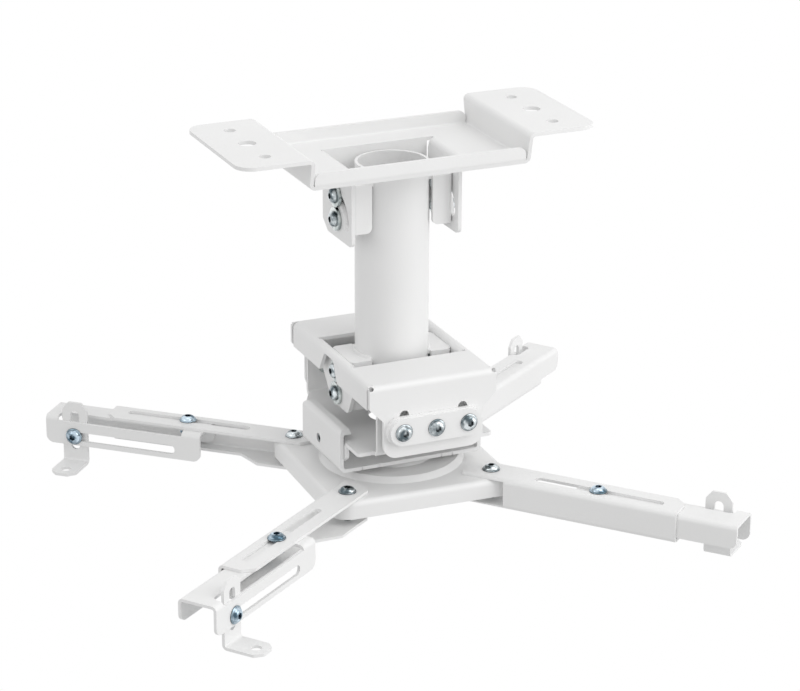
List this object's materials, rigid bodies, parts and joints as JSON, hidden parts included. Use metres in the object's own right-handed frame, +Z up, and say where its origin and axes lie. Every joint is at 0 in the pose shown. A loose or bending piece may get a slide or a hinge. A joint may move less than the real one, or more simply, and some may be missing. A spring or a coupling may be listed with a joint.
{
  "type": "projector ceiling mount",
  "caption": "Adjustable ceiling mount for a projector: folded steel ceiling plate, tilting tube, pitch and roll head, swivelling spider and swinging telescopic arms with slotted feet.",
  "frame": {"origin": "centre of the ceiling face, in the plane of the two pads and on the tube axis", "axes": "+X along the ceiling plate, +Z up, -Y towards the side seen first in the picture; metres in the row, millimetres in the source"},
  "size_m": [0.41, 0.3847, 0.2707],
  "materials": {
    "white_paint": "semi-gloss powder coat",
    "zinc": "bright blue-passivated zinc plating"
  },
  "bodies": {
    "ceiling": {"ceiling_plate": "white_paint", "stop_plate": "white_paint"},
    "drop": {"tube": "white_paint", "bracket_upper_left": "white_paint", "bracket_upper_right": "white_paint", "bracket_lower_left": "white_paint", "bracket_lower_right": "white_paint", "upper_pivot_bolts": "zinc", "upper_lock_bolts": "zinc", "upper_washers": "zinc", "upper_nuts": "zinc", "lower_pivot_bolts": "zinc", "lower_lock_bolts": "zinc", "lower_washers": "zinc", "lower_nuts": "zinc"},
    "pitch_frame": {"tilt_frame": "white_paint"},
    "roll_head": {"roll_bracket": "white_paint", "front_strip_inner": "white_paint", "front_strip_outer": "white_paint", "back_strip_inner": "white_paint", "back_strip_outer": "white_paint", "roll_bolts": "zinc", "roll_spacers": "zinc", "roll_nuts": "zinc", "swivel_tray": "white_paint", "lock_screws": "zinc"},
    "spider_head": {"spider": "white_paint", "swivel_bolt": "zinc", "swivel_washer": "zinc", "swivel_nut": "zinc", "arm_pivot_bolts": "zinc", "arm_pivot_nuts": "zinc"},
    "channel_front_right": {"arm_channel_front_right": "white_paint"},
    "slider_front_right": {"extension_front_right": "white_paint", "slide_bolt_front_right": "zinc"},
    "foot_clamp_front_right": {"foot_bolt_front_right": "zinc"},
    "foot_leg_front_right": {"foot_front_right": "white_paint"},
    "channel_front_left": {"arm_channel_front_left": "white_paint"},
    "slider_front_left": {"extension_front_left": "white_paint", "slide_bolt_front_left": "zinc"},
    "foot_clamp_front_left": {"foot_bolt_front_left": "zinc"},
    "foot_leg_front_left": {"foot_front_left": "white_paint"},
    "channel_back_left": {"arm_channel_back_left": "white_paint"},
    "slider_back_left": {"extension_back_left": "white_paint", "slide_bolt_back_left": "zinc"},
    "foot_clamp_back_left": {"foot_bolt_back_left": "zinc"},
    "foot_leg_back_left": {"foot_back_left": "white_paint"},
    "channel_back_right": {"arm_channel_back_right": "white_paint"},
    "slider_back_right": {"extension_back_right": "white_paint", "slide_bolt_back_right": "zinc"},
    "foot_clamp_back_right": {"foot_bolt_back_right": "zinc"},
    "foot_leg_back_right": {"foot_back_right": "white_paint"}
  },
  "joints": [
    {"name": "ceiling_tilt", "type": "hinge", "parent": "ceiling", "child": "drop", "pos_m": [0, 0, -0.0593], "axis": [1, 0, 0], "range_deg": [0, 90]},
    {"name": "pitch", "type": "hinge", "parent": "drop", "child": "pitch_frame", "pos_m": [0, 0, -0.1833], "axis": [1, 0, 0], "range_deg": [-10, 10]},
    {"name": "roll", "type": "hinge", "parent": "pitch_frame", "child": "roll_head", "pos_m": [0, 0, -0.1873], "axis": [0, 1, 0], "range_deg": [-12, 12]},
    {"name": "swivel", "type": "hinge", "parent": "roll_head", "child": "spider_head", "pos_m": [0, 0, -0.228], "axis": [0, 0, 1], "range_deg": [-180, 180]},
    {"name": "arm_swing_front_right", "type": "hinge", "parent": "spider_head", "child": "channel_front_right", "pos_m": [0.05044, -0.05409, -0.2348], "axis": [0, 0, 1], "range_deg": [-19, 43]},
    {"name": "arm_length_front_right", "type": "slide", "parent": "channel_front_right", "child": "slider_front_right", "axis": [0.6428, -0.766, 0], "range_m": [-0.0394, 0.0416]},
    {"name": "foot_place_front_right", "type": "slide", "parent": "slider_front_right", "child": "foot_clamp_front_right", "axis": [0.6428, -0.766, 0], "range_m": [-0.072, 0]},
    {"name": "foot_height_front_right", "type": "slide", "parent": "foot_clamp_front_right", "child": "foot_leg_front_right", "axis": [0, 0, 1], "range_m": [-0.015, 0.007]},
    {"name": "arm_swing_front_left", "type": "hinge", "parent": "spider_head", "child": "channel_front_left", "pos_m": [-0.05409, -0.05044, -0.2348], "axis": [0, 0, 1], "range_deg": [-15.8, 46.2]},
    {"name": "arm_length_front_left", "type": "slide", "parent": "channel_front_left", "child": "slider_front_left", "axis": [-0.8007, -0.599, 0], "range_m": [-0.0469, 0.0341]},
    {"name": "foot_place_front_left", "type": "slide", "parent": "slider_front_left", "child": "foot_clamp_front_left", "axis": [-0.8007, -0.599, 0], "range_m": [-0.072, 0]},
    {"name": "foot_height_front_left", "type": "slide", "parent": "foot_clamp_front_left", "child": "foot_leg_front_left", "axis": [0, 0, 1], "range_m": [-0.015, 0.007]},
    {"name": "arm_swing_back_left", "type": "hinge", "parent": "spider_head", "child": "channel_back_left", "pos_m": [-0.05044, 0.05409, -0.2348], "axis": [0, 0, 1], "range_deg": [-26.5, 35.5]},
    {"name": "arm_length_back_left", "type": "slide", "parent": "channel_back_left", "child": "slider_back_left", "axis": [-0.7373, 0.6756, 0], "range_m": [-0.0407, 0.0403]},
    {"name": "foot_place_back_left", "type": "slide", "parent": "slider_back_left", "child": "foot_clamp_back_left", "axis": [-0.7373, 0.6756, 0], "range_m": [-0.072, 0]},
    {"name": "foot_height_back_left", "type": "slide", "parent": "foot_clamp_back_left", "child": "foot_leg_back_left", "axis": [0, 0, 1], "range_m": [-0.015, 0.007]},
    {"name": "arm_swing_back_right", "type": "hinge", "parent": "spider_head", "child": "channel_back_right", "pos_m": [0.05409, 0.05044, -0.2348], "axis": [0, 0, 1], "range_deg": [-14, 48]},
    {"name": "arm_length_back_right", "type": "slide", "parent": "channel_back_right", "child": "slider_back_right", "axis": [0.8192, 0.5736, 0], "range_m": [-0.0273, 0.0537]},
    {"name": "foot_place_back_right", "type": "slide", "parent": "slider_back_right", "child": "foot_clamp_back_right", "axis": [0.8192, 0.5736, 0], "range_m": [-0.072, 0]},
    {"name": "foot_height_back_right", "type": "slide", "parent": "foot_clamp_back_right", "child": "foot_leg_back_right", "axis": [0, 0, 1], "range_m": [-0.015, 0.007]}
  ]
}
